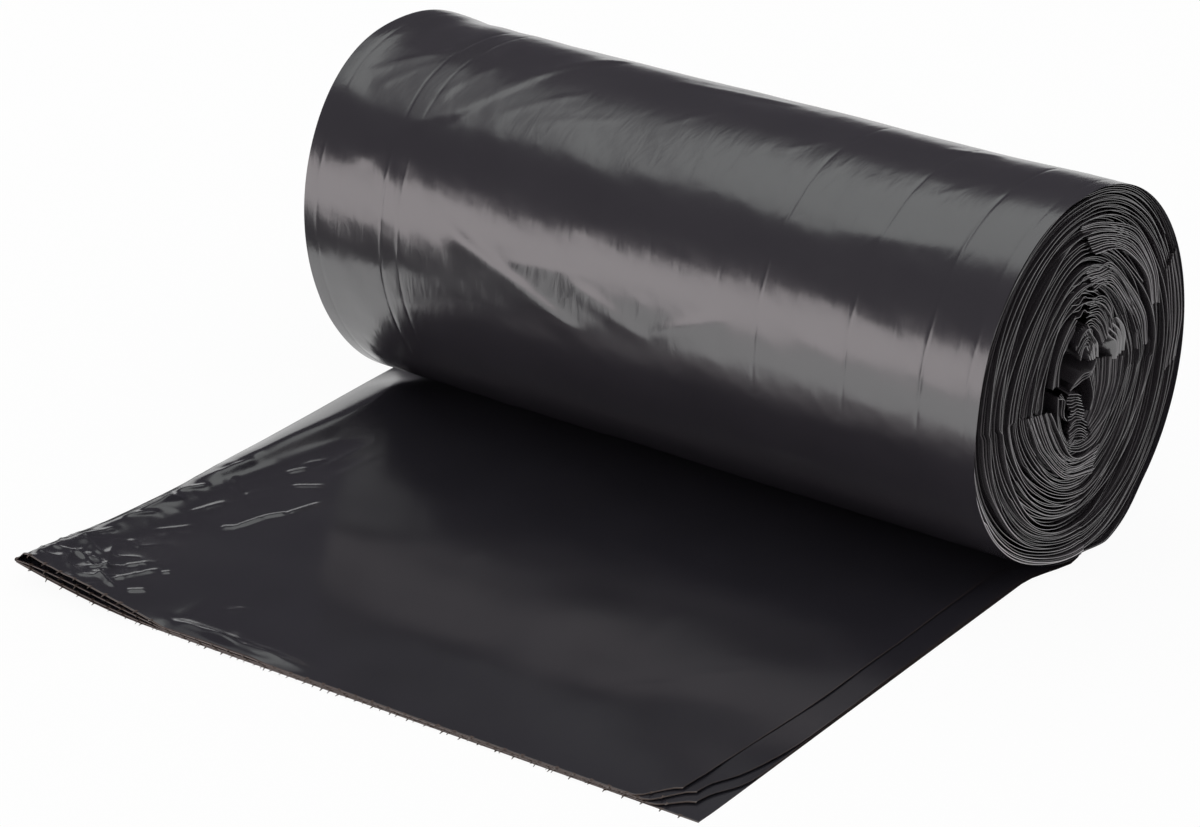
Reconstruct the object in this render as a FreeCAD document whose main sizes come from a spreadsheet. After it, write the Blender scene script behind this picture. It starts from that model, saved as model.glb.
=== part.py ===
import math
import os

import FreeCAD
import Part
import Sketcher

# A coreless roll of bin bags. One film web, folded in panels, is wound round itself,
# and its loose end lies flat in front of the roll.
#
# Frame: the roll's axis runs along X at mid height, the loose end lies towards -Y,
# and Z points up. The origin is on the ground under the middle of the roll.

SIZES = [
    ("web_width", 254.0, "width of the folded web, along the roll"),
    ("roll_height", 120.0, "height of the roll over the ground"),
    ("flat_spot", 5.0, "width of the flat that the roll lies on"),
    ("panel_thickness", 0.4, "one folded panel of film with its air"),
    ("panel_count", 4, "panels that lie on each other in the web"),
    ("turn_gap", 1.0, "air between one turn and the next"),
    ("core_radius", 20.0, "room left for the crumpled middle"),
    ("pleat_gap", 1.8, "air between two pleats of the middle"),
    ("pleat_lean_deg", 62.0, "lean of the pleats over the ground"),
    ("pleat_start_deg", 35.0, "how far the last turn goes past the lean before its first fold"),
    ("loose_reach", 199.0, "from under the roll's axis to the torn edge"),
    ("top_panel_inset", 12.0, "how far the top panel stops short of the right side"),
    ("fan_inset", 4.0, "step between the fanned corners, across the web"),
    ("fan_setback", 3.7, "step between the fanned corners, back from the torn edge"),
    ("fan_length", 30.0, "step between the starts of the fanned edges"),
    ("lift_height", 6.0, "height of the lifted corner's tip over the ground"),
    ("lift_width", 50.0, "lifted stretch of the torn edge"),
    ("lift_length", 75.0, "lifted stretch of the folded side"),
    ("lift_creases", 4, "creases that the lifted corner bends at"),
    ("gape", 3.6, "widest opening between the panels at the lifted corner"),
    ("gape_hem", 2.5, "closed stretch at each side of that opening"),
    ("gape_end", 11.0, "closed stretch behind that opening"),
    ("perforation_pitch", 6.35, "from one torn tie to the next"),
    ("tie_width", 0.8, "width of a torn tie"),
    ("tie_length", 0.7, "how far a torn tie sticks out"),
]

doc = FreeCAD.newDocument("BinBagRoll")
sheet = doc.addObject("Spreadsheet::Sheet", "Sizes")
for row, (alias, value, meaning) in enumerate(SIZES, 1):
    sheet.set("A%d" % row, alias)
    sheet.set("B%d" % row, str(value))
    sheet.set("C%d" % row, meaning)
    sheet.setAlias("B%d" % row, alias)
doc.recompute()

HALF_TURN = math.pi
JOINT_TOLERANCE = 1e-6
half_width = sheet.web_width / 2
half_flat = sheet.flat_spot / 2
web_thickness = sheet.panel_thickness * sheet.panel_count
turn_pitch = web_thickness + sheet.turn_gap
roll_radius = sheet.roll_height / 2
turn_count = int((roll_radius - sheet.core_radius) / turn_pitch)
torn_edge = -sheet.loose_reach


def new_sketch(body, name, plane, geometry, offset=None):
    """A sketch of one or more closed outlines on an origin plane, with joined ends."""
    planes = {feature.Role: feature for feature in body.Origin.OriginFeatures}
    sketch = body.newObject("Sketcher::SketchObject", name)
    sketch.AttachmentSupport = (planes[plane], "")
    sketch.MapMode = "FlatFace"
    if offset:
        sketch.setExpression("AttachmentOffset.Base.z", offset)
    joints = []
    for outline in geometry:
        first = sketch.addGeometry(outline, False)[0]
        count = len(outline)
        free_ends = {(i, end) for i in range(count) for end in (1, 2)}
        for i in range(count):
            after = (i + 1) % count
            for end, begin in ((2, 1), (2, 2), (1, 1), (1, 2)):
                here = sketch.getPoint(first + i, end)
                there = sketch.getPoint(first + after, begin)
                if here.isEqual(there, JOINT_TOLERANCE) and {(i, end), (after, begin)} <= free_ends:
                    joints.append(Sketcher.Constraint("Coincident", first + i, end, first + after, begin))
                    free_ends -= {(i, end), (after, begin)}
                    break
    sketch.addConstraint(joints)
    doc.recompute()
    return sketch


def new_feature(body, kind, name, sketch, length=None, **settings):
    """A pad or pocket of a sketch, with its length as an expression."""
    feature = body.newObject("PartDesign::" + kind, name)
    feature.Profile = sketch
    if length:
        feature.setExpression("Length", length)
    for key, value in settings.items():
        setattr(feature, key, value)
    doc.recompute()
    return feature


def flat(x, y):
    return FreeCAD.Vector(x, y, 0)


def hull(name, faces):
    """A solid with flat faces, each given by its corners."""
    shells = Part.makeShell([Part.Face(Part.makePolygon(face + face[:1])) for face in faces])
    feature = doc.addObject("Part::Feature", name)
    feature.Shape = Part.makeSolid(shells)
    return feature


def polygon(points):
    """The sides of a closed polygon."""
    return [Part.LineSegment(a, b) for a, b in zip(points, points[1:] + points[:1])]


# The loose end: a closed fold on its left side, and the top panel's step on its right

fold_radius = web_thickness / 2
top_panel_edge = half_width - sheet.top_panel_inset
top_panel_floor = web_thickness - sheet.panel_thickness
low_side = flat(-half_width + fold_radius, 0)
high_side = flat(-half_width + fold_radius, web_thickness)
section = [
    Part.Arc(high_side, flat(-half_width, fold_radius), low_side),
    Part.LineSegment(low_side, flat(half_width, 0)),
    Part.LineSegment(flat(half_width, 0), flat(half_width, top_panel_floor)),
    Part.LineSegment(flat(half_width, top_panel_floor), flat(top_panel_edge, top_panel_floor)),
    Part.LineSegment(flat(top_panel_edge, top_panel_floor), flat(top_panel_edge, web_thickness)),
    Part.LineSegment(flat(top_panel_edge, web_thickness), high_side),
]
loose_body = doc.addObject("PartDesign::Body", "LooseBody")
loose_sketch = new_sketch(loose_body, "LooseSection", "XZ_Plane", [section], offset="Sizes.flat_spot / 2")
new_feature(loose_body, "Pad", "LooseEnd", loose_sketch,
            length="Sizes.loose_reach - Sizes.flat_spot / 2")

# The right front corner: each panel stops short of the one below, like fanned pages


def fan_cut(level):
    """What a panel leaves uncovered at the corner, counted up from the bottom panel."""
    corner = flat(half_width - level * sheet.fan_inset, torn_edge + level * sheet.fan_setback)
    torn_end = flat(corner.x - level * sheet.fan_setback, torn_edge)
    margin = sheet.fan_inset
    if level == sheet.panel_count - 1:
        edge_start = flat(corner.x, corner.y + margin)
        edge = Part.LineSegment(edge_start, corner)
    else:
        edge_start = flat(half_width, torn_edge + level * sheet.fan_length)
        across = edge_start.x - corner.x
        down = edge_start.y - corner.y
        bend = (across ** 2 + down ** 2) / (2 * across)
        swing = math.asin(down / bend)
        middle = flat(
            half_width - bend * (1 - math.cos(swing / 2)),
            edge_start.y - bend * math.sin(swing / 2),
        )
        edge = Part.Arc(edge_start, middle, corner)
    outside = [
        corner,
        torn_end,
        flat(torn_end.x, torn_edge - margin),
        flat(half_width + margin, torn_edge - margin),
        flat(half_width + margin, edge_start.y),
        edge_start,
    ]
    return [edge] + [Part.LineSegment(a, b) for a, b in zip(outside, outside[1:])]


for level in range(1, sheet.panel_count):
    fan_sketch = new_sketch(loose_body, "FanCut%d" % level, "XY_Plane", [fan_cut(level)],
                            offset="Sizes.panel_thickness * Sizes.panel_count")
    new_feature(loose_body, "Pocket", "Fan%d" % level, fan_sketch,
                length="Sizes.panel_thickness * %d" % (sheet.panel_count - level))

# The left front corner lifts off the ground, and its panels gape like a lens

lift_end = -half_width + sheet.lift_width
lift_back = torn_edge + sheet.lift_length
lift_bend = (sheet.lift_width ** 2 + sheet.lift_height ** 2) / (2 * sheet.lift_height)


def underside(x):
    """Height of the torn edge's underside: an arc that leaves the ground at lift_end."""
    away = max(lift_end - x, 0)
    return lift_bend - math.sqrt(lift_bend ** 2 - away ** 2)


def along_edge(begin, end, above, crown):
    """Points along the torn edge, above the underside, crowned by a parabola."""
    steps = sheet.lift_creases + 1
    points = []
    for i in range(steps + 1):
        share = i / steps
        x = begin + (end - begin) * share
        height = underside(x) + above + crown * (1 - (2 * share - 1) ** 2)
        points.append(FreeCAD.Vector(x, torn_edge, height))
    return points


def facets(points, tip):
    """Flat triangles from each pair of neighbours to a tip."""
    return [[a, b, tip] for a, b in zip(points, points[1:])]


margin = sheet.lift_width
corner_room = polygon([
    flat(-half_width - margin, torn_edge - margin),
    flat(lift_end, torn_edge - margin),
    flat(lift_end, torn_edge),
    flat(-half_width, lift_back),
    flat(-half_width - margin, lift_back),
])
room_sketch = new_sketch(loose_body, "CornerRoom", "XY_Plane", [corner_room])
new_feature(loose_body, "Pocket", "CornerCut", room_sketch, Type="ThroughAll", Midplane=True)

low_points = along_edge(-half_width, lift_end, 0, 0)
high_points = along_edge(-half_width, lift_end, web_thickness, sheet.gape)
low_tip = FreeCAD.Vector(-half_width, lift_back, 0)
high_tip = FreeCAD.Vector(-half_width, lift_back, web_thickness)
corner_sheet = hull("CornerSheet", facets(low_points, low_tip) + facets(high_points, high_tip) + [
    low_points + high_points[::-1],
    [low_points[0], high_points[0], high_tip, low_tip],
    [low_points[-1], high_points[-1], high_tip, low_tip],
])

gape_start = -half_width + sheet.gape_hem
gape_stop = lift_end - sheet.gape_hem
mouth = (
    along_edge(gape_start, gape_stop, web_thickness / 2, 0)
    + along_edge(gape_start, gape_stop, web_thickness / 2, sheet.gape)[-2:0:-1]
)
throat = FreeCAD.Vector(gape_start, lift_back - sheet.gape_end, web_thickness / 2)
gape_room = hull("GapeRoom", facets(mouth + mouth[:1], throat) + [mouth])

lifted_corner = doc.addObject("Part::Cut", "LiftedCorner")
lifted_corner.Base = corner_sheet
lifted_corner.Tool = gape_room

# The torn edge: what is left of the perforation's ties, on the bottom panel

tie_count = int(sheet.web_width / sheet.perforation_pitch)
first_tie = -(tie_count - 1) * sheet.perforation_pitch / 2
ties = []
for i in range(tie_count):
    left = first_tie + i * sheet.perforation_pitch - sheet.tie_width / 2
    right = left + sheet.tie_width
    ties.append(polygon([
        flat(left, underside(left)),
        flat(right, underside(right)),
        flat(right, underside(right) + sheet.panel_thickness),
        flat(left, underside(left) + sheet.panel_thickness),
    ]))
tie_body = doc.addObject("PartDesign::Body", "TieBody")
tie_sketch = new_sketch(tie_body, "TieOutlines", "XZ_Plane", ties, offset="Sizes.loose_reach")
new_feature(tie_body, "Pad", "TornTies", tie_sketch, length="Sizes.tie_length")

# The wound web

def beside(runs, offset):
    """Edges of the line that keeps to the left of a chain of runs by an offset.

    A run is (length, 0) when straight, or (radius, sweep) when curved, with the radius
    positive for a left turn. The chain starts under the roll and heads for the back.
    """
    here = flat(-half_flat, web_thickness / 2)
    heading = 0.0
    edges = []
    for size, sweep in runs:
        left = flat(-math.sin(heading), math.cos(heading))
        if not sweep:
            there = here + flat(math.cos(heading), math.sin(heading)) * size
            edges.append(Part.LineSegment(here + left * offset, there + left * offset))
        else:
            turned = math.copysign(sweep, size)
            centre = here + left * size
            arm = here - centre
            there = centre + FreeCAD.Rotation(FreeCAD.Vector(0, 0, 1), math.degrees(turned)).multVec(arm)
            begin = math.atan2(arm.y, arm.x)
            circle = Part.Circle(centre, FreeCAD.Vector(0, 0, 1), abs(size - offset))
            edges.append(Part.ArcOfCircle(circle, min(begin, begin + turned), max(begin, begin + turned)))
            heading += turned
        here = there
    return edges


def turn_runs():
    """Full turns from the outside in: a flat, the back, a flat over the top, the front."""
    runs = []
    for turn in range(turn_count):
        back = roll_radius - web_thickness / 2 - turn * turn_pitch
        runs += [(sheet.flat_spot, 0), (back, HALF_TURN)]
        runs += [(sheet.flat_spot, 0), (back - turn_pitch / 2, HALF_TURN)]
    return runs


def pleat_runs():
    """The web's inner end: part of one more turn, then pleats across the hollow."""
    lean = math.radians(sheet.pleat_lean_deg)
    start = math.radians(sheet.pleat_start_deg)
    last = roll_radius - web_thickness / 2 - turn_count * turn_pitch
    fold = (web_thickness + sheet.pleat_gap) / 2
    room = last - web_thickness - sheet.turn_gap - fold
    across = (last - fold) * math.cos(start) - fold
    along = (last - fold) * math.sin(start)
    runs = [(sheet.flat_spot, 0), (last, lean + start), (fold, HALF_TURN - start)]
    side = -1
    while across - fold > -room + web_thickness:
        end = math.sqrt(room ** 2 - (across - fold) ** 2)
        runs += [(along + end, 0), (side * fold, HALF_TURN)]
        along = end
        across -= 2 * fold
        side = -side
    runs.append((along, 0))
    return runs


runs = turn_runs() + pleat_runs()
outer = beside(runs, -web_thickness / 2)
inner = beside(runs, web_thickness / 2)
start_cap = Part.LineSegment(flat(-half_flat, web_thickness), flat(-half_flat, 0))
end_cap = Part.LineSegment(outer[-1].EndPoint, inner[-1].EndPoint)
wound_outline = [start_cap] + outer + [end_cap] + inner[::-1]
wound_body = doc.addObject("PartDesign::Body", "WoundBody")
wound_sketch = new_sketch(wound_body, "WoundOutline", "YZ_Plane", [wound_outline])
new_feature(wound_body, "Pad", "WoundWeb", wound_sketch, length="Sizes.web_width", Midplane=True)

# The whole roll, as one piece

roll = doc.addObject("Part::MultiFuse", "BagRoll")
roll.Label = "bag_roll"
roll.Shapes = [loose_body, lifted_corner, tie_body, wound_body]
roll.Refine = True
doc.recompute()

for thing in doc.Objects:
    if "Invalid" in thing.State or "Error" in thing.State:
        raise RuntimeError("%s is not well: %s" % (thing.Label, thing.State))
if roll.Shape.isNull() or not roll.Shape.isValid() or len(roll.Shape.Solids) != 1:
    raise RuntimeError("%s has no valid single solid" % roll.Label)

os.makedirs("parts", exist_ok=True)
roll.Shape.exportStep("parts/%s.step" % roll.Label)

box = roll.Shape.BoundBox
print("turns", turn_count, "ties", tie_count)
print("box %.2f x %.2f x %.2f mm" % (box.XLength, box.YLength, box.ZLength))
print("lowest corner %.3f %.3f %.3f" % (box.XMin, box.YMin, box.ZMin))
print("volume %.1f mm3, faces %d" % (roll.Shape.Volume, len(roll.Shape.Faces)))
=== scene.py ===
import math

import bpy
import numpy as np
from mathutils import Matrix, Vector


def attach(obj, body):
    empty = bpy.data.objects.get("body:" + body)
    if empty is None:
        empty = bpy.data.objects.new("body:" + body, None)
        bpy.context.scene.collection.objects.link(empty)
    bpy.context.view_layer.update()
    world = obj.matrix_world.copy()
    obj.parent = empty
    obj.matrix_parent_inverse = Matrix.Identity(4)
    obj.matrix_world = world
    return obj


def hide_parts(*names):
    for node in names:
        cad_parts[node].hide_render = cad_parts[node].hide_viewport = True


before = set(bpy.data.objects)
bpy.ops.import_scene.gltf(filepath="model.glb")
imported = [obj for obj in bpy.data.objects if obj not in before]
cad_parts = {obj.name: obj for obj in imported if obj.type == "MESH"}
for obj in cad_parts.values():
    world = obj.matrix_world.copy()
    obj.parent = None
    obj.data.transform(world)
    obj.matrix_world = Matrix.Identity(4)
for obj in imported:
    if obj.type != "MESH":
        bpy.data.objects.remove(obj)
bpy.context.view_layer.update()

# A coreless roll of black bin bags, with its loose end lying in front of it.
# Everything is in metres, in the frame of the CAD model: the roll's axis runs along X
# at mid height, the loose end lies towards -Y, and Z points up. The tables of fold lines
# and plies are in millimetres.

MM = 1000

# Sizes that the part's source has too

HALF_WIDTH = 0.127
ROLL_RADIUS = 0.060
HALF_FLAT = 0.0025
TURNS = 15
TURN_PITCH = 0.0026
TORN_EDGE = -0.199
PANEL = 0.0004
TIES = 40

# The web winds inwards, so the arc of a turn's front half is a little smaller than its
# back half's, and has its middle a little higher. Angles go from under the roll,
# backwards and up.

FRONT_RADIUS = ROLL_RADIUS - TURN_PITCH / 2
FRONT_HEIGHT = ROLL_RADIUS + TURN_PITCH / 2
TOP = math.pi
FRONT = 1.5 * math.pi


# Helpers

NOISE_TABLE = 64
FADE = 0.25


def smooth(x):
    """An ease from 0 to 1, flat outside."""
    x = np.clip(x, 0, 1)
    return x * x * (3 - 2 * x)


def ramp(x, begin, end):
    """0 before begin, 1 after end, eased between; begin may lie after end."""
    return smooth((x - begin) / (end - begin))


def noise(u, v, seed):
    """Smooth noise from -1 to 1; one unit of u or v is one bump."""
    table = np.random.default_rng(seed).uniform(-1, 1, (NOISE_TABLE, NOISE_TABLE))
    u, v = np.broadcast_arrays(np.asarray(u, float), np.asarray(v, float))
    i, j = np.floor(u).astype(int), np.floor(v).astype(int)
    s, t = smooth(u - i), smooth(v - j)

    def at(a, b):
        return table[a % NOISE_TABLE, b % NOISE_TABLE]

    low = at(i, j) * (1 - s) + at(i + 1, j) * s
    high = at(i, j + 1) * (1 - s) + at(i + 1, j + 1) * s
    return low * (1 - t) + high * t


def ridge(x, s, begin, end, width, height, lean):
    """A fold line on the film, fading at its ends; lean makes one flank steeper."""
    along = np.subtract(end, begin)
    length = math.hypot(*along)
    along = along / length
    dx, ds = x - begin[0], s - begin[1]
    t = (dx * along[0] + ds * along[1]) / length
    off = (ds * along[0] - dx * along[1]) / width
    off = off * np.where(off > 0, 1 + lean, 1 - lean)
    return height * np.exp(-off * off) * ramp(t, 0.0, FADE) * (1 - ramp(t, 1 - FADE, 1.0))


def positions(stops):
    """Positions with their own spacing in each stretch: (begin, spacing), ..., (end, None)."""
    parts = []
    for (begin, step), (end, _) in zip(stops, stops[1:]):
        count = max(int(round(abs(end - begin) / step)), 1)
        parts.append(np.linspace(begin, end, count, endpoint=False))
    return np.append(np.concatenate(parts), stops[-1][0])


class Surface:
    """Grids of points, gathered into one mesh."""

    def __init__(self):
        self.points = []
        self.faces = []
        self.rims = []
        self.count = 0

    def grid(self, points, flip=False, rim=0.0):
        """Adds a grid of shape (rows, columns, 3); rim is 1 where the colour goes pale: the torn
        lip and ties, and a painted highlight on ply and panel edges.
        """
        rows, columns = points.shape[:2]
        index = self.count + np.arange(rows * columns).reshape(rows, columns)
        self.rims.append(np.broadcast_to(np.asarray(rim, float), (rows, columns)).ravel())
        quads = np.stack([index[:-1, :-1], index[:-1, 1:], index[1:, 1:], index[1:, :-1]], axis=-1)
        quads = quads.reshape(-1, 4)
        self.faces.append(quads[:, ::-1] if flip else quads)
        self.points.append(points.reshape(-1, 3))
        self.count += rows * columns

    def piece(self, name, material, sharp=None):
        """Makes the object: smooth, but creased where faces meet at over sharp degrees."""
        mesh = bpy.data.meshes.new(name)
        points, faces = np.concatenate(self.points), np.concatenate(self.faces)
        mesh.from_pydata(points.tolist(), [], faces.tolist())
        mesh.polygons.foreach_set("use_smooth", [True] * len(mesh.polygons))
        if sharp:
            mesh.set_sharp_from_angle(angle=math.radians(sharp))
        rim = mesh.attributes.new("rim", "FLOAT", "POINT")
        rim.data.foreach_set("value", np.concatenate(self.rims))
        mesh.materials.append(material)
        mesh.update()
        thing = bpy.data.objects.new(name, mesh)
        bpy.context.scene.collection.objects.link(thing)
        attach(thing, "root")
        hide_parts("bag_roll")
        return thing


# The camera, as fitted to the outlines in the photograph

AZIMUTH, ELEVATION, BANK = (math.radians(a) for a in (36.39, 25.32, -0.86))
DISTANCE = 1.333
TARGET = Vector((-0.01077, -0.05516, 0.03116))
FOCAL_LENGTH, SENSOR_WIDTH = 127.89, 36
NEAREST, FARTHEST = 0.05, 50


def place_camera():
    """Adds the camera and makes it the scene's own."""
    back = Vector((math.sin(AZIMUTH) * math.cos(ELEVATION),
                   -math.cos(AZIMUTH) * math.cos(ELEVATION),
                   math.sin(ELEVATION)))
    right = (-back).cross(Vector((0, 0, 1))).normalized()
    up = right.cross(-back)
    banked_right = right * math.cos(BANK) + up * math.sin(BANK)
    banked_up = up * math.cos(BANK) - right * math.sin(BANK)
    lens = bpy.data.cameras.new("camera")
    lens.sensor_width = SENSOR_WIDTH
    lens.lens = FOCAL_LENGTH
    lens.clip_start, lens.clip_end = NEAREST, FARTHEST
    camera = bpy.data.objects.new("camera", lens)
    turned = Matrix((banked_right, banked_up, back)).transposed().to_4x4()
    camera.matrix_world = Matrix.Translation(TARGET + back * DISTANCE) @ turned
    bpy.context.scene.collection.objects.link(camera)
    bpy.context.scene.camera = camera


place_camera()


# Materials

CREASE_STRETCH = (1.0, 0.35, 0.35)
CLOUD_SCALE, CLOUD_DETAIL = 30, 6
CREASE_DETAIL, CREASE_DISTORTION, CREASE_HEIGHT = 4, 0.6, 0.001
TONES = (0.92, 1.08)
TONE_POSITIONS = (0.3, 0.7)
GLOSS_RANGE = (0.8, 1.25)

# Sockets of the mix node that serve colours
MIX_SHARE, MIX_FIRST, MIX_SECOND, MIX_RESULT = 0, 6, 7, 2


def new_material(name):
    """A material, with its nodes, its links and its shader."""
    material = bpy.data.materials.new(name)
    material.use_nodes = True
    tree = material.node_tree
    return material, tree.nodes, tree.links, tree.nodes["Principled BSDF"]


def film_material(name, colour, roughness, crease_scale, crease_strength,
                  rim_colour=(0.10, 0.095, 0.10), level=1.0, ior=1.7):
    """Thin black film: glossy, a little uneven in gloss and tone, with fine creases; where the rim
    attribute is set its colour goes to rim_colour, mostly a painted highlight on film edges.
    """
    material, nodes, links, shader = new_material(name)
    shader.inputs["IOR"].default_value = ior
    shader.inputs["Specular IOR Level"].default_value = level
    where = nodes.new("ShaderNodeTexCoord")
    stretch = nodes.new("ShaderNodeMapping")
    stretch.inputs["Scale"].default_value = CREASE_STRETCH
    links.new(where.outputs["Object"], stretch.inputs["Vector"])

    cloud = nodes.new("ShaderNodeTexNoise")
    cloud.inputs["Scale"].default_value = CLOUD_SCALE
    cloud.inputs["Detail"].default_value = CLOUD_DETAIL
    links.new(where.outputs["Object"], cloud.inputs["Vector"])

    tone = nodes.new("ShaderNodeValToRGB")
    for element, position, shade in zip(tone.color_ramp.elements, TONE_POSITIONS, TONES):
        element.position = position
        element.color = (*[c * shade for c in colour], 1)
    links.new(cloud.outputs["Fac"], tone.inputs["Fac"])
    # The rim attribute mixes the base colour towards rim_colour: a painted highlight along ply and
    # panel edges, and the pale torn lip and ties.
    rim = nodes.new("ShaderNodeAttribute")
    rim.attribute_name = "rim"
    paler = nodes.new("ShaderNodeMix")
    paler.data_type = "RGBA"
    links.new(rim.outputs["Fac"], paler.inputs[MIX_SHARE])
    links.new(tone.outputs["Color"], paler.inputs[MIX_FIRST])
    paler.inputs[MIX_SECOND].default_value = (*rim_colour, 1)
    links.new(paler.outputs[MIX_RESULT], shader.inputs["Base Color"])

    gloss = nodes.new("ShaderNodeMapRange")
    gloss.inputs["To Min"].default_value = roughness * GLOSS_RANGE[0]
    gloss.inputs["To Max"].default_value = roughness * GLOSS_RANGE[1]
    links.new(cloud.outputs["Fac"], gloss.inputs["Value"])
    links.new(gloss.outputs["Result"], shader.inputs["Roughness"])

    creases = nodes.new("ShaderNodeTexNoise")
    creases.inputs["Scale"].default_value = crease_scale
    creases.inputs["Detail"].default_value = CREASE_DETAIL
    creases.inputs["Distortion"].default_value = CREASE_DISTORTION
    links.new(stretch.outputs["Vector"], creases.inputs["Vector"])
    bump = nodes.new("ShaderNodeBump")
    bump.inputs["Strength"].default_value = crease_strength
    bump.inputs["Distance"].default_value = CREASE_HEIGHT
    links.new(creases.outputs["Fac"], bump.inputs["Height"])
    links.new(bump.outputs["Normal"], shader.inputs["Normal"])
    return material


wrap_film = film_material("wrap_film", colour=(0.0248, 0.0222, 0.0272), roughness=0.2,
                          crease_scale=220, crease_strength=0.12, ior=1.75)
# The edge film's pale rim colour is a painted highlight along the edges of the wound and pleated
# plies.
edge_film = film_material("edge_film", colour=(0.022, 0.019, 0.022), roughness=0.22,
                          crease_scale=300, crease_strength=0.05, rim_colour=(0.46, 0.43, 0.45))
# The sheet's rim colour is the pale brown of its torn lip and ties, and also a painted highlight
# along the panels' right edges.
sheet_film = film_material("sheet_film", colour=(0.0192, 0.0180, 0.0230), roughness=0.17,
                           crease_scale=160, crease_strength=0.05,
                           rim_colour=(0.085, 0.062, 0.052), level=0.75)


# The wound web: its shape, which its outside and the edges of its plies follow

MIDDLE_INSET = 0.036
TOP_DENT, TOP_DENT_SPREAD = 0.0016, 0.8
TURNED = 0.0169


def outline(angle, inset):
    """Points (y, z) of the wound web; inset is how far inside the outermost turn.

    Near the middle the turns are squarer and taller, as a flattened roll's are.
    """
    front = ramp(angle, TOP - 0.04, TOP + 0.04)
    radius = ROLL_RADIUS + (FRONT_RADIUS - ROLL_RADIUS) * front - inset
    height = ROLL_RADIUS + (FRONT_HEIGHT - ROLL_RADIUS) * front
    middle = HALF_FLAT * np.tanh(np.sin(angle) * 6)
    depth = np.clip(inset / MIDDLE_INSET, 0, 1)
    power = 2 - 0.34 * ramp(depth, 0.28, 0.62) - 0.10 * ramp(depth, 0.05, 0.2)
    squared = (np.abs(np.sin(angle)) ** power + np.abs(np.cos(angle)) ** power) ** (-1 / power)
    radius = radius * squared * (1 + depth * 0.05 * (1 + np.cos(2 * angle)))
    sag = 0.003 * depth * np.sin(angle) ** 2
    return middle + np.sin(angle) * radius, height - np.cos(angle) * radius - sag


def dents(angle):
    """How far the outside departs from its two arcs: a lower top."""
    return -TOP_DENT * np.exp(-((angle - TOP) / TOP_DENT_SPREAD) ** 2)


def settle(points):
    """Moves points as the wound web has wandered on its loose end.

    It lies a little to the right and is turned, its left end leans, and its top sags
    between the ends.
    """
    x, y, z = points[..., 0], points[..., 1], points[..., 2]
    high = z / ROLL_RADIUS - 1
    left = 0.5 - x / (2 * HALF_WIDTH)
    right_end = 0.0050 - 0.0018 * high + 0.0016 * ramp(high, -0.8, -1.0)
    left_end = 0.0015 - 0.0078 * high - 0.0018 * high ** 4
    moved_x = x + right_end * (1 - left) + left_end * left
    sag = 0.0007 * (1 - ramp(x, 0.085, 0.115)) - 0.0016 * ramp(x, -0.112, -0.127)
    return np.stack([moved_x, y - TURNED * x, z - sag * ramp(z, 0.08, 0.12)], axis=-1)


def drawn_in(angle, turn):
    """How far the right edge of the first turns lies back.

    It does so low at the front, and under the roll, where the outermost turn starts.
    """
    low = ramp(angle, FRONT - 0.25, FRONT + 0.5) * (1 - ramp(angle, FRONT + 1.1, FRONT + 1.5))
    at_start = 1 - ramp(turn, 0.0, 0.030)
    return 0.0022 * low * (1 - ramp(turn, 0.9, 4.6)) + 0.0034 * at_start


# The outside of the roll

# Fold lines: from x and degrees above the front to x and degrees, width, height and lean
WRAP_FOLDS = [
    (-46, 112, -66, 72, 2.2, 0.40, 0.5),
    (-60, 80, -82, 50, 2.4, 0.35, 0.5),
    (-76, 62, -112, 26, 3.5, 0.25, 0.3),
    (-120, 60, -94, 86, 1.8, 0.22, 0.2),
    (-112, 56, -98, 74, 1.5, 0.18, 0.0),
    (-88, 58, -76, 84, 1.6, 0.16, 0.0),
    (-66, 58, -40, 80, 1.8, 0.16, 0.2),
    (-52, 60, -20, 72, 2.0, 0.14, 0.0),
    (-74, 22, -12, -3, 3.0, 0.55, 0.4),
    (-50, 14, -10, 18, 2.4, 0.20, 0.0),
    (-26, 16, 12, 2, 2.6, 0.25, 0.3),
    (6, 3, 44, 20, 2.4, 0.22, 0.2),
    (58, 50, 112, 58, 5.0, 0.30, 0.0),
    (-12, 70, 6, 92, 1.5, 0.10, 0.0),
    (30, 74, 52, 98, 1.5, 0.10, 0.0),
    (84, 70, 104, 92, 1.5, 0.10, 0.0),
    (-30, 96, 20, 108, 3.0, 0.30, 0.0),
    (70, 96, 90, 108, 2.5, 0.25, 0.0),
]

# Fine lines round the roll: x and depth
WRAP_LINES = [(-94.8, 0.10), (-87.8, 0.08), (47.8, 0.09), (79.6, 0.10), (105.8, 0.15),
              (121.5, 0.15), (-121.0, 0.12)]
LINE_WIDTH = 0.0006
LINE_COLUMNS = [-0.0009, -0.0004, 0, 0.0004, 0.0009]
WRAP_COLUMNS, WRAP_ROWS = 200, 381
WRAP_HEM = 0.001
WRAP_END = 2 * math.pi - 0.03


def wrap_relief(x, angle):
    """Height of the outer turn's soft waves and fold lines."""
    rise = np.degrees(FRONT - angle)
    s = rise * ROLL_RADIUS * math.pi / 180
    waves = 0.00022 * noise(x / 0.034 + s / 0.11, s / 0.021, 11)
    waves += 0.00008 * noise(x / 0.012 + s / 0.016, s / 0.008, 12)
    waves += 0.00003 * noise(x / 0.0045 + s / 0.009, s / 0.0035, 14)
    left = 1 - ramp(x, -0.075, -0.02)
    waves += 0.00014 * left * noise(x / 0.007 + s / 0.02, s / 0.03, 13)
    for x0, rise0, x1, rise1, width, height, lean in WRAP_FOLDS:
        begin = (x0 / MM, math.radians(rise0) * ROLL_RADIUS)
        end = (x1 / MM, math.radians(rise1) * ROLL_RADIUS)
        waves += ridge(x, s, begin, end, width / MM, height / MM, lean)
    for line, depth in WRAP_LINES:
        waves -= depth / MM * np.exp(-((x - line / MM) / LINE_WIDTH) ** 2)
    return waves * ramp(HALF_WIDTH - np.abs(x), 0.0008, 0.010)


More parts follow.
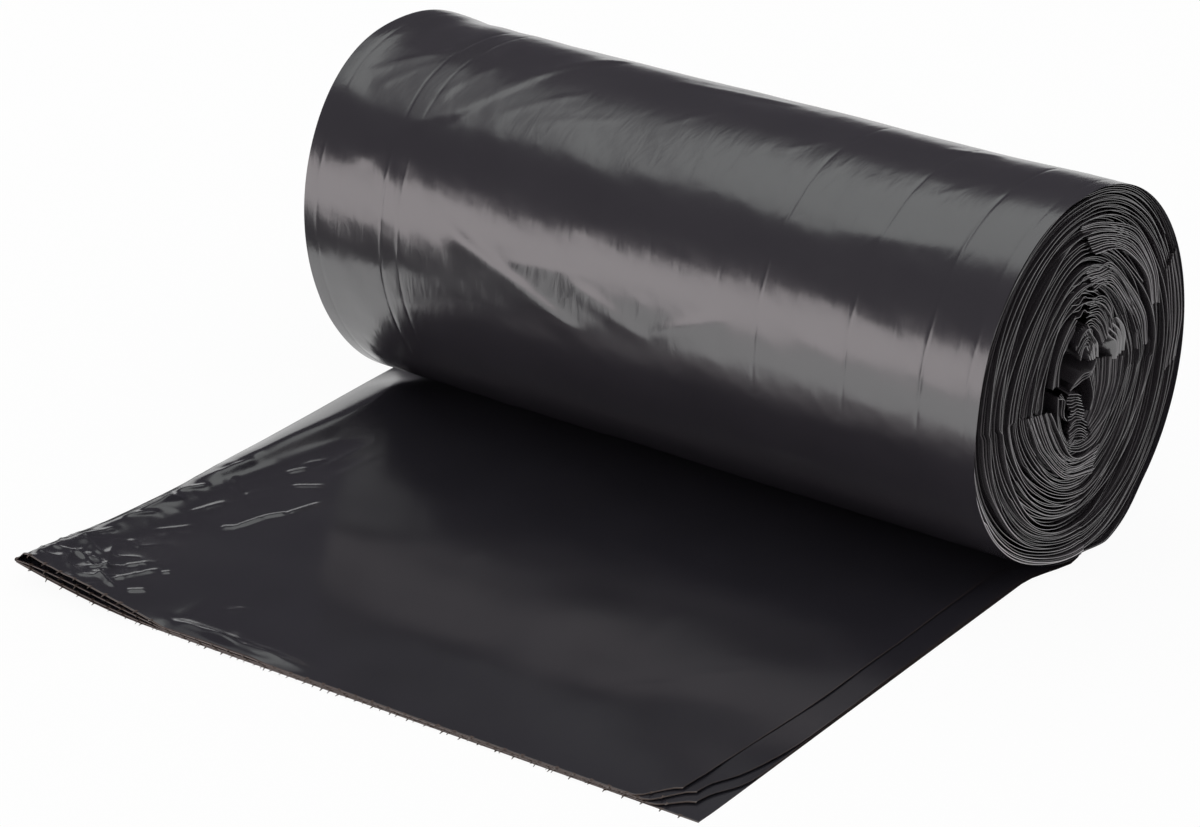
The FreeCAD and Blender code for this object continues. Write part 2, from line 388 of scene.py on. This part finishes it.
def roll_outside():
    """The outermost turn of the web."""
    columns = np.unique(np.concatenate(
        [np.linspace(-HALF_WIDTH + WRAP_HEM, HALF_WIDTH - WRAP_HEM, WRAP_COLUMNS)]
        + [line / MM + np.array(LINE_COLUMNS) for line, _ in WRAP_LINES]))
    x, angle = np.meshgrid(columns, np.linspace(0, WRAP_END, WRAP_ROWS))
    squeeze = 1 - drawn_in(angle, angle / (2 * math.pi)) / HALF_WIDTH
    relief = wrap_relief(x, angle) * ramp(angle, 0.1, 0.6) * (1 - ramp(angle, 5.9, 6.2))
    y, z = outline(angle, -dents(angle) - relief)
    surface = Surface()
    x = x * np.where(x > 0, squeeze, 1)
    surface.grid(settle(np.stack([x, y, z], axis=-1)), flip=True)
    surface.piece("roll_wrap", wrap_film)


roll_outside()


# The edges of the wound plies at both ends

# Profile across the end of one ply: how deep it lies, its share of the ply's thickness,
# and its share of the painted highlight on the ply's rim
PLY_PROFILE = [(0.013, 0, 0), (0.0018, 0, 0), (0.00040, 0, 0.2), (0.00006, 0.15, 1),
               (0.00006, 0.85, 1), (0.00040, 1, 0.2), (0.0018, 1, 0), (0.013, 1, 0)]
PLY_HIGHLIGHT = np.array([[pale] for _, _, pale in PLY_PROFILE])
CREASE_ANGLE = 70
FIRST_INSET = 0.0003
EDGE_BACK = 0.0020
LEAST_BACK = 0.0002


def wound_edges(name, side, plies, thickness, seed, per_turn):
    """The film's edges at one end: plies that follow the spiral, in clumps, uneven in reach."""
    surface = Surface()
    t = np.arange(TURNS * per_turn + 1) / per_turn
    angle = 2 * math.pi * (t % 1)
    across, upward = np.sin(angle), -np.cos(angle)
    low_front = ramp(angle, FRONT - 0.2, FRONT + 0.5)

    # Kinks of the turns at the front, the back and the top: sudden at first, then fading
    corner_front = ramp(angle, FRONT - 0.03, FRONT + 0.01)
    corner_front = corner_front * (1 - ramp(angle, FRONT + 0.6, FRONT + 1.1))
    corner_back = ramp(angle, 1.40, 1.44) * (1 - ramp(angle, 1.9, 2.4))
    corner_top = ramp(angle, TOP - 0.10, TOP - 0.05) * (1 - ramp(angle, TOP + 0.3, TOP + 0.7))
    corners = 0.5 * corner_front + 0.4 * corner_back + 0.3 * corner_top

    for ply in range(plies):
        # How far inside the outermost turn: gathered in clumps, with wanderings of its own
        deep_in = t + ply / plies
        gather = 0.36 * noise(deep_in * 0.95 + 0.9 * across, 0.9 * upward + 7, seed)
        gather += 0.14 * noise(deep_in * 2.6 + 1.6 * across, 1.6 * upward + 3, seed + 1)
        own = 0.06 * noise(t * 9, 3.7 * ply, seed + 2) + 0.03 * noise(t * 30, 5.3 * ply, seed + 7)
        kink = noise(np.floor(t) * 1.7, 1.3 * ply, seed + 8) * corners
        moved = (gather + own + 0.5 * kink) * np.clip(deep_in * 0.8, 0, 1)
        inset = FIRST_INSET + TURN_PITCH * np.maximum(np.floor(t) + ply / plies + moved, 0)

        # How far back from the end: the low front of the first turns lies close to it
        reach = 0.0014 * noise(deep_in * 1.3 + 1.1 * across, 1.1 * upward + 11, seed + 3)
        reach += (0.0008 * noise(t * 3.3, 9.3 * ply, seed + 4)
                  + 0.00030 * noise(t * 14, 4.1 * ply, seed + 9))
        step = noise(np.floor(deep_in * 1.5) * 2.3, 3.0, seed + 5)
        reach += 0.0011 * step * (corner_front + corner_back) + 0.0007 * step * corner_top
        back_off = EDGE_BACK - reach + 0.0006 * (ply % 2)
        close = low_front * (1 - ramp(deep_in, 1.5, 2.5))
        back_off = back_off - 0.0012 * (1 - ramp(deep_in, 0.0, 0.6)) - 0.0016 * close
        back_off = np.maximum(back_off, LEAST_BACK)
        if side > 0:
            back_off = back_off + drawn_in(angle, t)

        # Every other close ply is thicker and carries a brighter painted highlight on its rim
        bright = close * (1 - ply % 2)
        thick = thickness * (1 + 0.5 * bright)
        curl = 0.00035 * noise(t * 6, 4.4 * ply, seed + 6) * ramp(t, 0.9, 1.5)
        rows = []
        for deep, sink, _ in PLY_PROFILE:
            bend = 1 - ramp(deep, 0, 0.003)
            inwards = inset + sink * thick + bend * curl + 0.0005 * ramp(deep, 0.0012, 0.013)
            y, z = outline(angle, inwards - dents(angle) * (1 - np.clip(inset / 0.03, 0, 1)))
            rows.append(np.stack([side * (HALF_WIDTH - back_off - deep), y, z], axis=-1))
        # The painted highlight on the ply rims: uneven at random, brighter low at the front, and
        # weaker on close plies except the bright ones
        rim_highlight = (0.13
                     + 0.14 * noise(deep_in * 1.7 + 1.2 * across, 1.2 * upward + 5, seed + 10)
                     + 0.10 * noise(t * 7, ply * 2.9, seed + 11))
        rim_highlight = rim_highlight * (0.8 + 1.1 * low_front)
        glint = 0.9 + 0.4 * noise(t * 2.5, ply * 3.3, seed + 12)
        rim_highlight = rim_highlight * (1 - 0.5 * close) + bright * glint
        rim = PLY_HIGHLIGHT * np.clip(rim_highlight, 0.02, 1)[None, :]
        surface.grid(settle(np.array(rows)), flip=side < 0, rim=rim)
    surface.piece(name, edge_film, sharp=CREASE_ANGLE)


wound_edges("turn_edges_right", side=1, plies=4, thickness=0.00022, seed=21, per_turn=220)
wound_edges("turn_edges_left", side=-1, plies=2, thickness=0.0006, seed=41, per_turn=150)


# The crumpled middle, which has no core: pleated plies, and fans of panel edges round them

# Strength of the painted highlight on the ply edges of pleats, fans and the fan at the back
PLEAT, FAN, BACK_FAN = 0.22, 0.45, 0.25

# Each stack: its first ply and its last as (y, z), then the number of plies, how far back
# its edges lie at the first and last ply, how far its deep side leans, as (y, z), and how
# strong the painted highlight on its edges is
STACKS = [
    ([(7, 83), (13, 82), (18, 77), (21, 70)],
     [(3, 75), (7, 74.5), (11, 71), (14, 66)],
     13, (1.6, 2.6), (-1, -2), PLEAT),
    ([(-4, 72), (-1, 75), (3, 75), (6, 70)],
     [(-1, 66), (1, 69), (4, 69), (6, 65)],
     7, (0.8, 1.6), (3, 1), PLEAT),
    ([(2, 77), (4, 73), (7, 69), (9, 64)],
     [(-1, 75), (2, 71), (5, 67), (7, 63)],
     5, (0.6, 1.6), (-4, 2), PLEAT),
    ([(20, 73), (24, 68), (25.5, 60)],
     [(17, 68), (21, 64), (22, 58)],
     4, (0.8, 2.0), (-5, -1), PLEAT),
    ([(25, 58), (22, 49), (15, 42), (7, 38)],
     [(9, 62), (11.5, 54), (10, 48), (7, 44)],
     15, (1.6, 4.2), (-1, 1), PLEAT),
    ([(-4, 59), (1, 60.5), (6, 60), (10, 62)],
     [(-4, 57), (1, 58), (6, 58), (10, 60)],
     3, (1.6, 2.4), (0, 2), PLEAT),
    ([(-8, 57.5), (-4, 56), (0, 54.5)],
     [(-6, 39), (0, 39.5), (6, 36)],
     17, (1.2, 2.4), (1, 2), PLEAT),
    ([(-14, 59), (-14, 49), (-9, 40), (0, 36), (10, 37), (18, 43)],
     [(-11, 57), (-10.5, 50), (-7, 42), (0, 38.5), (9, 39.5), (16, 45)],
     5, (1.4, 2.6), (1, 1), PLEAT),
    ([(-6, 92), (-2, 91.2), (1, 92.4), (5, 91), (11, 89.5)],
     [(-5, 81), (-1, 80.6), (1.5, 81.4), (4, 80), (8, 78.5)],
     6, (1.2, 2.2), (0, -2), PLEAT),
    ([(-13, 57.5), (-10, 56), (-11, 52), (-8, 49)],
     [(-9, 57.5), (-7, 55), (-8, 51), (-6, 48)],
     5, (2.0, 3.0), (1, 1), PLEAT),
    ([(-16, 62), (-14, 70), (-9, 77), (-2, 81)],
     [(-10.5, 61), (-9.5, 67), (-5, 72), (-1, 75)],
     9, (1.8, 3.4), (0, 1), PLEAT),
    ([(7, 58), (8.5, 52), (8, 46)],
     [(9.5, 60), (10.5, 53), (9, 46)],
     3, (2.4, 3.2), (0, 0), PLEAT),
    ([(-1, 109.4), (11.5, 106.5), (28, 99.6), (36.5, 92), (45, 79), (47.6, 67.6)],
     [(5, 99), (19.3, 96), (30.6, 88), (37.6, 79.6), (40.3, 69.8)],
     13, (1.4, 0.8), (0, 0), FAN),
    ([(2.8, 93.6), (9.9, 92), (17, 91.4), (27.6, 81.3), (38.7, 67.5), (41.4, 56.5)],
     [(5.9, 86.7), (12.9, 86.6), (20.4, 81.5), (30.5, 67.5), (33.1, 57.7)],
     10, (1.5, 0.9), (0, 0), FAN),
    ([(-31.8, 59), (-27.9, 49.8), (-24.1, 43.5), (-11.3, 31.4), (6.7, 26.1)],
     [(-19.8, 56.3), (-15, 48.6), (-8.2, 38.1), (-1, 34.2), (9.6, 34.9)],
     13, (0.9, 1.3), (0, 0), FAN),
    ([(58, 82), (61, 70), (61.6, 58), (59.3, 46)],
     [(50, 78), (52.5, 68), (53, 56), (50.5, 44)],
     8, (1.2, 0.7), (0, 0), BACK_FAN),
]
PLY_POINTS = 30
PLY_THICKNESS = 0.0002
WOBBLE, CRIMP = 0.0003, 0.0001
PLACE_SPREAD = 0.00006
BACK_SPREAD = 0.25
LEAN_DEPTH, MOST_LEAN = 0.008, 1.5
HOLLOW_DEPTH = 0.012
HOLLOW_COLUMNS, HOLLOW_ROWS = 73, 24


def curve_through(points, count):
    """A smooth curve through a few (y, z) points."""
    points = np.asarray(points, float)
    before, after = 2 * points[0] - points[1], 2 * points[-1] - points[-2]
    padded = np.concatenate([[before], points, [after]])
    t = np.linspace(0, len(points) - 1, count)
    i = np.minimum(t.astype(int), len(points) - 2)
    s = (t - i)[:, None]
    a, b, c, d = (padded[i + k] for k in range(4))
    return 0.5 * (2 * b + (c - a) * s + (2 * a - 5 * b + 4 * c - d) * s ** 2
                  + (3 * b - a - 3 * c + d) * s ** 3)


def crumpled_middle(name, side, seed):
    """The pleats and fans at one end, and the uneven dark film behind them."""
    surface = Surface()
    random = np.random.default_rng(seed)
    along = np.linspace(0, 1, PLY_POINTS)

    def two_way(bumps, v, first_seed):
        """Noise along a ply, as (y, z)."""
        return np.stack([noise(along * bumps, v, first_seed),
                         noise(along * bumps, v, first_seed + 1)], axis=-1)

    for first, last, count, (near, far), lean, edge_highlight in STACKS:
        begin, end = curve_through(first, PLY_POINTS), curve_through(last, PLY_POINTS)
        for k in range(count):
            share = k / max(count - 1, 1)
            line = (begin * (1 - share) + end * share) / MM
            wobble = two_way(4, k * 0.3 + seed, seed + 1)
            crimp = two_way(9, k * 0.25 + seed, seed + 7)
            line = line + WOBBLE * wobble + CRIMP * crimp + random.normal(0, PLACE_SPREAD, 2)
            back_off = (near + (far - near) * share + random.normal(0, BACK_SPREAD)) / MM
            back_off = back_off + 0.0005 * noise(along * 3, k * 0.4, seed + 3)
            lean_to = np.array(lean) / MM
            tangent = np.gradient(line, axis=0)
            across = np.stack([tangent[:, 1], -tangent[:, 0]], axis=-1)
            across /= np.linalg.norm(across, axis=1)[:, None]
            rows = []
            for deep, sink, _ in PLY_PROFILE:
                leant = lean_to * min(deep / LEAN_DEPTH, MOST_LEAN)
                place = line + across * sink * PLY_THICKNESS + leant
                x = side * (HALF_WIDTH - back_off - deep)
                rows.append(np.stack([x, place[:, 0], place[:, 1]], axis=-1))
            # A painted highlight along each ply's edge, uneven at random
            rim_highlight = edge_highlight * (1 + 0.7 * noise(along * 4, k * 0.9, seed + 9))
            rim = PLY_HIGHLIGHT * rim_highlight[None, :]
            surface.grid(settle(np.array(rows)), flip=side > 0, rim=rim)

    round_it = np.linspace(0, 2 * math.pi, HOLLOW_COLUMNS)
    angle, reach = np.meshgrid(round_it, np.linspace(0.001, 1, HOLLOW_ROWS))
    y, z = outline(angle, MIDDLE_INSET)
    y, z = y * reach, (z - ROLL_RADIUS) * reach + ROLL_RADIUS
    sunk = (HOLLOW_DEPTH + 0.003 * noise(y / 0.006, z / 0.009, seed + 5)
            + 0.0015 * noise(y / 0.002, z / 0.003, seed + 6))
    surface.grid(settle(np.stack([side * (HALF_WIDTH - sunk), y, z], axis=-1)), flip=side < 0)
    surface.piece(name, edge_film, sharp=CREASE_ANGLE)


crumpled_middle("crumpled_middle_right", side=1, seed=60)
crumpled_middle("crumpled_middle_left", side=-1, seed=80)


# The loose end: four panels, folded over at the left, stepped and fanned at the right

# Fold lines: from x and y to x and y, width, height and lean
SHEET_FOLDS = [
    (-97, -139, -92.5, -135.5, 1.1, 0.50, 0.3),
    (-93.5, -137, -90, -124, 0.9, 0.60, 0.3),
    (-91, -126, -86, -119, 0.9, 0.55, 0.3),
    (-86.5, -121, -82, -107, 0.9, 0.38, 0.2),
    (-117, -109, -106, -116.5, 1.0, 0.35, 0.0),
    (-107, -115.5, -97, -123, 0.9, 0.35, 0.0),
    (-98, -104, -88, -97, 0.9, 0.38, 0.2),
    (-105, -98, -101, -90, 1.1, 0.38, 0.0),
    (-105, -90, -100, -82, 1.0, 0.26, 0.0),
    (-101, -179, -97, -172, 0.9, 0.35, 0.0),
    (-97, -191, -92, -172, 0.9, 0.50, 0.2),
    (-113, -163, -106, -166.5, 0.9, 0.35, 0.0),
    (-113, -154, -104, -142, 1.1, 0.22, 0.0),
    (-112, -138, -107, -123, 1.6, 0.32, 0.3),
    (-122, -137, -118, -131, 1.3, 0.45, 0.0),
    (-120, -186, -106, -182, 1.3, 0.50, 0.3),
    (-115, -181, -100, -185, 1.2, 0.55, 0.0),
    (-118, -182, -105, -188, 1.0, 0.45, 0.2),
    (-107, -190, -101, -181, 1.0, 0.50, 0.0),
    (-122, -174, -110, -179, 1.3, 0.45, 0.3),
    (-104, -189, -92, -193, 1.2, 0.60, 0.0),
    (-122, -116, -117, -96, 1.8, 0.60, 0.3),
    (-118, -118, -124, -130, 1.2, 0.60, 0.0),
    (-121, -130, -123, -150, 1.3, 0.55, 0.0),
    (-118, -142, -124, -156, 1.1, 0.45, 0.0),
    (-119, -160, -123, -176, 1.2, 0.50, 0.0),
    (-90, -92, -90, -68, 1.8, 0.12, 0.0),
    (-98, -90, -96, -62, 1.8, 0.12, 0.0),
    (-108, -68, -102, -53, 1.8, 0.16, 0.0),
    (-59, -181, -55, -175, 1.4, 0.32, 0.0),
    (-89, -192, -85, -186, 1.1, 0.45, 0.0),
    (-90, -175, -88, -172, 0.9, 0.35, 0.0),
    (-58, -194, -28, -198, 1.6, 0.50, 0.4),
    (-50, -188, -34, -197, 1.2, 0.25, 0.0),
    (20, -60, 48, -66, 3.0, 0.10, 0.0),
    (2, -74, 40, -80, 3.5, 0.10, 0.0),
    (52, -100, 56, -134, 2.5, 0.08, 0.0),
    (60, -150, 96, -118, 2.5, 0.05, 0.0),
]

# Each panel, from the bottom: its right edge, where its front right corner lies, where
# that edge begins to leave its line, its share of the gape and how high its corner fans
TOP_LEVEL = 3
PANELS = [
    {"level": 0, "edge": 0.1270, "corner": (0.1268, -0.1990), "leaves": -0.190,
     "gape": 0.0, "fan": 0.0},
    {"level": 1, "edge": 0.1268, "corner": (0.1207, -0.1915), "leaves": -0.165,
     "gape": 0.10, "fan": 0.0003},
    {"level": 2, "edge": 0.1265, "corner": (0.1182, -0.1878), "leaves": -0.138,
     "gape": 0.55, "fan": 0.0006},
    {"level": TOP_LEVEL, "edge": 0.1150, "corner": (0.1144, -0.1890), "leaves": -0.180,
     "gape": 1.0, "fan": 0.0009},
]
SHEET_BACK = 0.002
LIFT_WIDTH, LIFT_LENGTH, LIFT_HEIGHT = 0.056, 0.080, 0.0062
GAPE, GAPE_WIDTH, GAPE_LENGTH, GAPE_HEM = 0.0040, 0.058, 0.055, 0.001
UNDER_SHEET = 0.0002
FLARE_EDGE = 0.1330
FOLD_STEPS, FOLD_BULGE = 8, 0.0005
LIP, LIP_LOWEST = np.array([0, 0.0001, 0.00026]), 0.00004
# Painted highlight along the right edges of the panels
SIDE_HIGHLIGHT = 0.8
TINY = 0.00001

# A tie: the ranges of its length, its width, how far its tip bends up and how far aside,
# then the rows of its points as shares of its length, and how it narrows to its tip
TIE_SEED = 7
TIE_LENGTH, TIE_WIDTH = (0.0009, 0.0017), (0.0006, 0.0009)
TIE_BEND, TIE_ASIDE = (-0.0007, 0.0004), (-0.0003, 0.0003)
TIE_ROWS = (-0.5, 0.0, 0.4, 0.8, 1.0)
TIE_TAPER, TIE_ROOT = 0.75, 0.0003
TIE_OVER, TIE_LOWEST = 0.00003, 0.00006


def lifted(x, y):
    """How far the front left corner stands off the floor."""
    share = 1 - (x + HALF_WIDTH) / LIFT_WIDTH - (y - TORN_EDGE) / LIFT_LENGTH
    return LIFT_HEIGHT * np.clip(share, 0, 1) ** 1.8


def gaping(x, y):
    """How far the upper panels part from the lower ones at that corner, as a share."""
    along = np.clip((x + HALF_WIDTH - GAPE_HEM) / GAPE_WIDTH, 0, 1)
    lens = (4 * along * (1 - along)) ** 0.8 * (1.25 - 0.5 * along)
    return lens * np.clip(1 - (y - TORN_EDGE) / GAPE_LENGTH, 0, 1) ** 1.4


def panel_plan(panel, share, y):
    """Moves a panel's point, given by its share of the width, to its place on the floor."""
    corner_x, corner_y = panel["corner"]
    close = ramp(y, panel["leaves"], TORN_EDGE) ** 1.5
    wider = 0.0025 * (panel["level"] == TOP_LEVEL) * ramp(y, -0.175, -0.115)
    right_edge = panel["edge"] + wider
    right_edge = right_edge + (corner_x - right_edge) * close
    flare = (FLARE_EDGE - right_edge) * ramp(y, -0.028, -0.004)
    right_edge = right_edge + flare - 0.0022 * ramp(y, -0.006, 0.001)
    x = -HALF_WIDTH + (right_edge + HALF_WIDTH) * share
    drawn_back = (corner_y - TORN_EDGE) * ramp(x, right_edge - 0.010, right_edge)
    return x, y + drawn_back * ramp(y, TORN_EDGE + 0.03, TORN_EDGE)


def panel_height(panel, x, y):
    """Height of a panel over the floor."""
    level = panel["level"]
    height = UNDER_SHEET + level * PANEL + lifted(x, y) + GAPE * panel["gape"] * gaping(x, y)
    near_corner = np.exp(-(((x - 0.122) / 0.016) ** 2 + ((y + 0.192) / 0.018) ** 2))
    height += panel["fan"] * near_corner
    waves = noise(x / 0.03, y / 0.02, 90 + level)
    height += 0.00006 * (level + 1) * waves * ramp(y, -0.01, -0.05)
    return height


def top_relief(x, y):
    """Puffed fold, creases and crinkles of the top panel."""
    height = 0.00010 * noise(x / 0.06 + y / 0.09, y / 0.04, 101)
    height = height + 0.00003 * noise(x / 0.016, y / 0.02, 102)

    # The puffed fold at the left, crinkled in front and smooth and wide near the roll
    smooth_part = ramp(y, -0.108, -0.092)
    near_roll = ramp(y, -0.095, -0.035)
    crest = (-0.1196 + 0.0062 * near_roll + 0.0012 * noise(0.5, y / 0.030, 108)
             - 0.0026 * (1 - smooth_part))
    rise = 0.0015 + 0.0011 * smooth_part + 0.0006 * near_roll
    crinkle = 0.40 * noise(0.5, y / 0.012, 103) + 0.25 * noise(0.5, y / 0.005, 104)
    rise = rise * (1 + crinkle * (1 - smooth_part))
    outer = np.clip((crest - x) / (crest + HALF_WIDTH), 0, 1)
    inner = np.clip((x - crest) / (0.0055 + 0.0045 * near_roll), 0, None)
    height += rise * np.where(x < crest, 1 - outer ** 1.5, np.exp(-inner ** 2))

    # Nets of creases and small facets at the left, deepest in front
    left = 1 - ramp(x, -0.112, -0.088)
    front = 1 - ramp(y, -0.186, -0.160)
    net = (1 - np.abs(noise(x / 0.010 + y / 0.020, y / 0.011, 105))) ** 5
    net += 0.7 * (1 - np.abs(noise(x / 0.007 - y / 0.012, y / 0.009 + x / 0.012, 106))) ** 5
    facets = noise(x / 0.006 + y / 0.011, y / 0.007 - x / 0.015, 109)
    net_height = 0.00010 * (1 - smooth_part) + 0.00055 * front
    height += left * (net * net_height + facets * 0.00052 * front)

    # The torn edge, rolled over to the right of the lifted corner
    strip = ramp(x, -0.075, -0.060) * (1 - ramp(x, -0.030, -0.010))
    roll_over = 0.0016 * (0.8 + 0.4 * noise(x / 0.008, 0.5, 107)) * strip
    height += roll_over * np.exp(-((y - TORN_EDGE - 0.0040) / 0.0026) ** 2)

    for x0, y0, x1, y1, width, rise, lean in SHEET_FOLDS:
        begin, end = (x0 / MM, y0 / MM), (x1 / MM, y1 / MM)
        height += ridge(x, y, begin, end, width / MM, rise / MM, lean)
    return height * ramp(y, -0.010, -0.034)


def panel_points(panel, share, y):
    """Where a panel's points lie."""
    x, y = panel_plan(panel, share, y)
    relief = top_relief(x, y) if panel["level"] == TOP_LEVEL else 0
    return x, y, panel_height(panel, x, y) + relief


def panel_stops(top):
    """The spacing of a panel's points across the web and along it."""
    if top:
        return ([(0, 0.0022), (0.22, 0.0075), (0.9985, 0.0015), (1, None)],
                [(TORN_EDGE, 0.0005), (TORN_EDGE + 0.03, 0.0009), (-0.09, 0.0020),
                 (SHEET_BACK, None)])
    return ([(0, 0.008), (0.3, 0.02), (0.9, 0.008), (0.9985, 0.0015), (1, None)],
            [(TORN_EDGE, 0.0005), (TORN_EDGE + 0.001, 0.001), (TORN_EDGE + 0.02, 0.005),
             (SHEET_BACK, None)])


def with_fold(grid, rim):
    """Adds the fold at the left side, which joins the top panel to the bottom one."""
    x, y, z = grid[:, :1, 0], grid[:, :1, 1], grid[:, :1, 2]
    bottom_z = panel_height(PANELS[0], x, y)
    arc = np.linspace(0, math.pi, FOLD_STEPS + 1)[None, :-1]
    centre = (z + bottom_z) / 2
    half_height = (z - bottom_z) / 2
    round_x = x - FOLD_BULGE * np.sin(arc)
    round_z = centre - half_height * np.cos(arc)
    fold = np.stack([round_x, np.broadcast_to(y, round_x.shape), round_z], axis=-1)
    grid = np.concatenate([fold, grid], axis=1)
    return grid, np.concatenate([np.repeat(rim[:, :1], FOLD_STEPS, axis=1), rim], axis=1)


def torn_tie(random, panel, share):
    """One of the small ties along the torn edge, stretched and torn off."""
    place = panel_points(panel, np.array(share), np.array(TORN_EDGE))
    x, y, z = (float(v) for v in place)
    length, wide = random.uniform(*TIE_LENGTH), random.uniform(*TIE_WIDTH)
    bend, aside = random.uniform(*TIE_BEND), random.uniform(*TIE_ASIDE)
    rows = []
    for part in TIE_ROWS:
        half = wide * (1 - TIE_TAPER * max(part, 0)) / 2 + TIE_ROOT * (part < 0)
        height = max(z + TIE_OVER + bend * max(part, 0) ** 2, TIE_LOWEST)
        middle = x + aside * part
        rows.append([(middle + k * half, y - part * length, height) for k in (-1, 0, 1)])
    return np.array(rows)


def loose_sheet():
    """The four panels, with their torn lip, their ties and the fold."""
    surface = Surface()
    random = np.random.default_rng(TIE_SEED)
    for panel in PANELS:
        top = panel["level"] == TOP_LEVEL
        shares, rows = (positions(stops) for stops in panel_stops(top))
        share, y = np.meshgrid(shares, rows)
        # The torn edge goes pale, and the panels' right edges carry a painted highlight
        rim = np.maximum(y <= y[0, 0] + TINY, SIDE_HIGHLIGHT * (share >= 1))
        grid = np.stack(panel_points(panel, share, y), axis=-1)
        lip = grid[:1] - LIP
        lip[..., 2] = np.maximum(lip[..., 2], LIP_LOWEST)
        grid = np.concatenate([lip, grid])
        rim = np.concatenate([np.ones_like(rim[:1]), rim])
        if top:
            grid, rim = with_fold(grid, rim)
        surface.grid(grid, rim=rim)
        for k in range(1, TIES):
            surface.grid(torn_tie(random, panel, k / TIES), rim=1.0)
    return surface.piece("loose_end", sheet_film)


loose_end = loose_sheet()


# The stage: a floor that shows as plain white but keeps a faint shadow, two cards and a
# room that the film reflects, and three soft boxes

FLOOR = 6.0
FLOOR_CORNERS = [(-FLOOR, -FLOOR, 0), (FLOOR, -FLOOR, 0), (FLOOR, FLOOR, 0), (-FLOOR, FLOOR, 0)]
WHITE_CARD = [(-3.4, 1.4, 0), (-1.25, 1.4, 0), (-1.33, 1.4, 0.58), (-3.4, 1.4, 0.58)]
BLACK_CARD = [(-0.130, -0.10), (-0.215, -0.235), (-0.205, -0.165), (-3, -0.165),
              (-3, -3.93), (-0.17, -0.26), (-0.130, -0.199)]
BLACK_CARD_HEIGHT = 0.0006
PLAIN_WHITE_SHARE = 0.94
ROOM, ROOM_REFLECTED, SEEN_BEHIND = (0.8, 0.8, 0.8), (0.085, 0.080, 0.093), (1, 1, 1)


def card(name, corners, material):
    """A flat piece of the stage."""
    mesh = bpy.data.meshes.new(name)
    mesh.from_pydata(corners, [], [tuple(range(len(corners)))])
    mesh.materials.append(material)
    thing = bpy.data.objects.new(name, mesh)
    bpy.context.scene.collection.objects.link(thing)
    return thing


def mixed(nodes, links, share, first, second):
    """A shader that goes from the first to the second as share goes from 0 to 1."""
    mix = nodes.new("ShaderNodeMixShader")
    links.new(share, mix.inputs["Fac"])
    links.new(first, mix.inputs[1])
    links.new(second, mix.inputs[2])
    return mix.outputs["Shader"]


def floor_material():
    """White paint, which the camera sees almost as plain white and reflections quite so."""
    material, nodes, links, paint = new_material("floor_white")
    paint.inputs["Base Color"].default_value = (0.9, 0.9, 0.9, 1)
    paint.inputs["Roughness"].default_value = 0.8
    path = nodes.new("ShaderNodeLightPath")
    keep_shadow = nodes.new("ShaderNodeMath")
    keep_shadow.operation = "MULTIPLY"
    keep_shadow.inputs[1].default_value = PLAIN_WHITE_SHARE
    links.new(path.outputs["Is Camera Ray"], keep_shadow.inputs[0])
    seen = nodes.new("ShaderNodeMath")
    seen.operation = "MAXIMUM"
    links.new(keep_shadow.outputs["Value"], seen.inputs[0])
    links.new(path.outputs["Is Glossy Ray"], seen.inputs[1])
    white = nodes.new("ShaderNodeEmission")
    white.inputs["Color"].default_value = (1, 1, 1, 1)
    surface = mixed(nodes, links, seen.outputs["Value"], paint.outputs["BSDF"],
                    white.outputs["Emission"])
    links.new(surface, nodes["Material Output"].inputs["Surface"])
    return material


def black_material():
    """Dull black paint."""
    material, _, _, paint = new_material("card_black")
    paint.inputs["Base Color"].default_value = (0.05, 0.05, 0.055, 1)
    paint.inputs["Roughness"].default_value = 0.9
    return material


def room():
    """The surroundings: white behind the object, dim where the film reflects them."""
    world = bpy.data.worlds.new("world")
    bpy.context.scene.world = world
    world.use_nodes = True
    nodes, links = world.node_tree.nodes, world.node_tree.links
    path = nodes.new("ShaderNodeLightPath")
    lit = nodes["Background"]
    reflected, seen = (nodes.new("ShaderNodeBackground") for _ in range(2))
    for background, colour in ((lit, ROOM), (reflected, ROOM_REFLECTED), (seen, SEEN_BEHIND)):
        background.inputs["Color"].default_value = (*colour, 1)
    unseen = mixed(nodes, links, path.outputs["Is Glossy Ray"], lit.outputs["Background"],
                   reflected.outputs["Background"])
    surface = mixed(nodes, links, path.outputs["Is Camera Ray"], unseen,
                    seen.outputs["Background"])
    links.new(surface, nodes["World Output"].inputs["Surface"])


def soft_box(name, place, aim, size, power, colour):
    """A rectangular light that faces a point."""
    light = bpy.data.lights.new(name, "AREA")
    light.shape = "RECTANGLE"
    light.size, light.size_y = size
    light.energy = power
    light.color = colour
    lamp = bpy.data.objects.new(name, light)
    lamp.location = place
    lamp.rotation_mode = "QUATERNION"
    lamp.rotation_quaternion = (Vector(aim) - Vector(place)).to_track_quat("-Z", "Y")
    bpy.context.scene.collection.objects.link(lamp)


floor_white = floor_material()
card("floor", FLOOR_CORNERS, floor_white)
card("white_card", WHITE_CARD, floor_white)
black_card = card("black_card", [(x, y, BLACK_CARD_HEIGHT) for x, y in BLACK_CARD],
                  black_material())
black_card.visible_camera = black_card.visible_diffuse = black_card.visible_shadow = False
room()

GREENISH, ROSY = (0.96, 1.0, 0.97), (1.0, 0.93, 0.94)
soft_box("soft_box_over", place=(-0.57, 0.52, 1.35), aim=(-0.57, 0.52, 0),
         size=(0.72, 1.44), power=2.4, colour=GREENISH)
soft_box("soft_box_side", place=(-1.16, 0.40, 1.35), aim=(-1.16, 0.40, 0),
         size=(0.46, 1.20), power=0.41, colour=GREENISH)
soft_box("soft_box_front", place=(-0.96, -1.46, 0.48), aim=(0, 0, 0.06),
         size=(1.5, 0.82), power=5.6, colour=ROSY)

bpy.context.scene.view_settings.view_transform = "Standard"
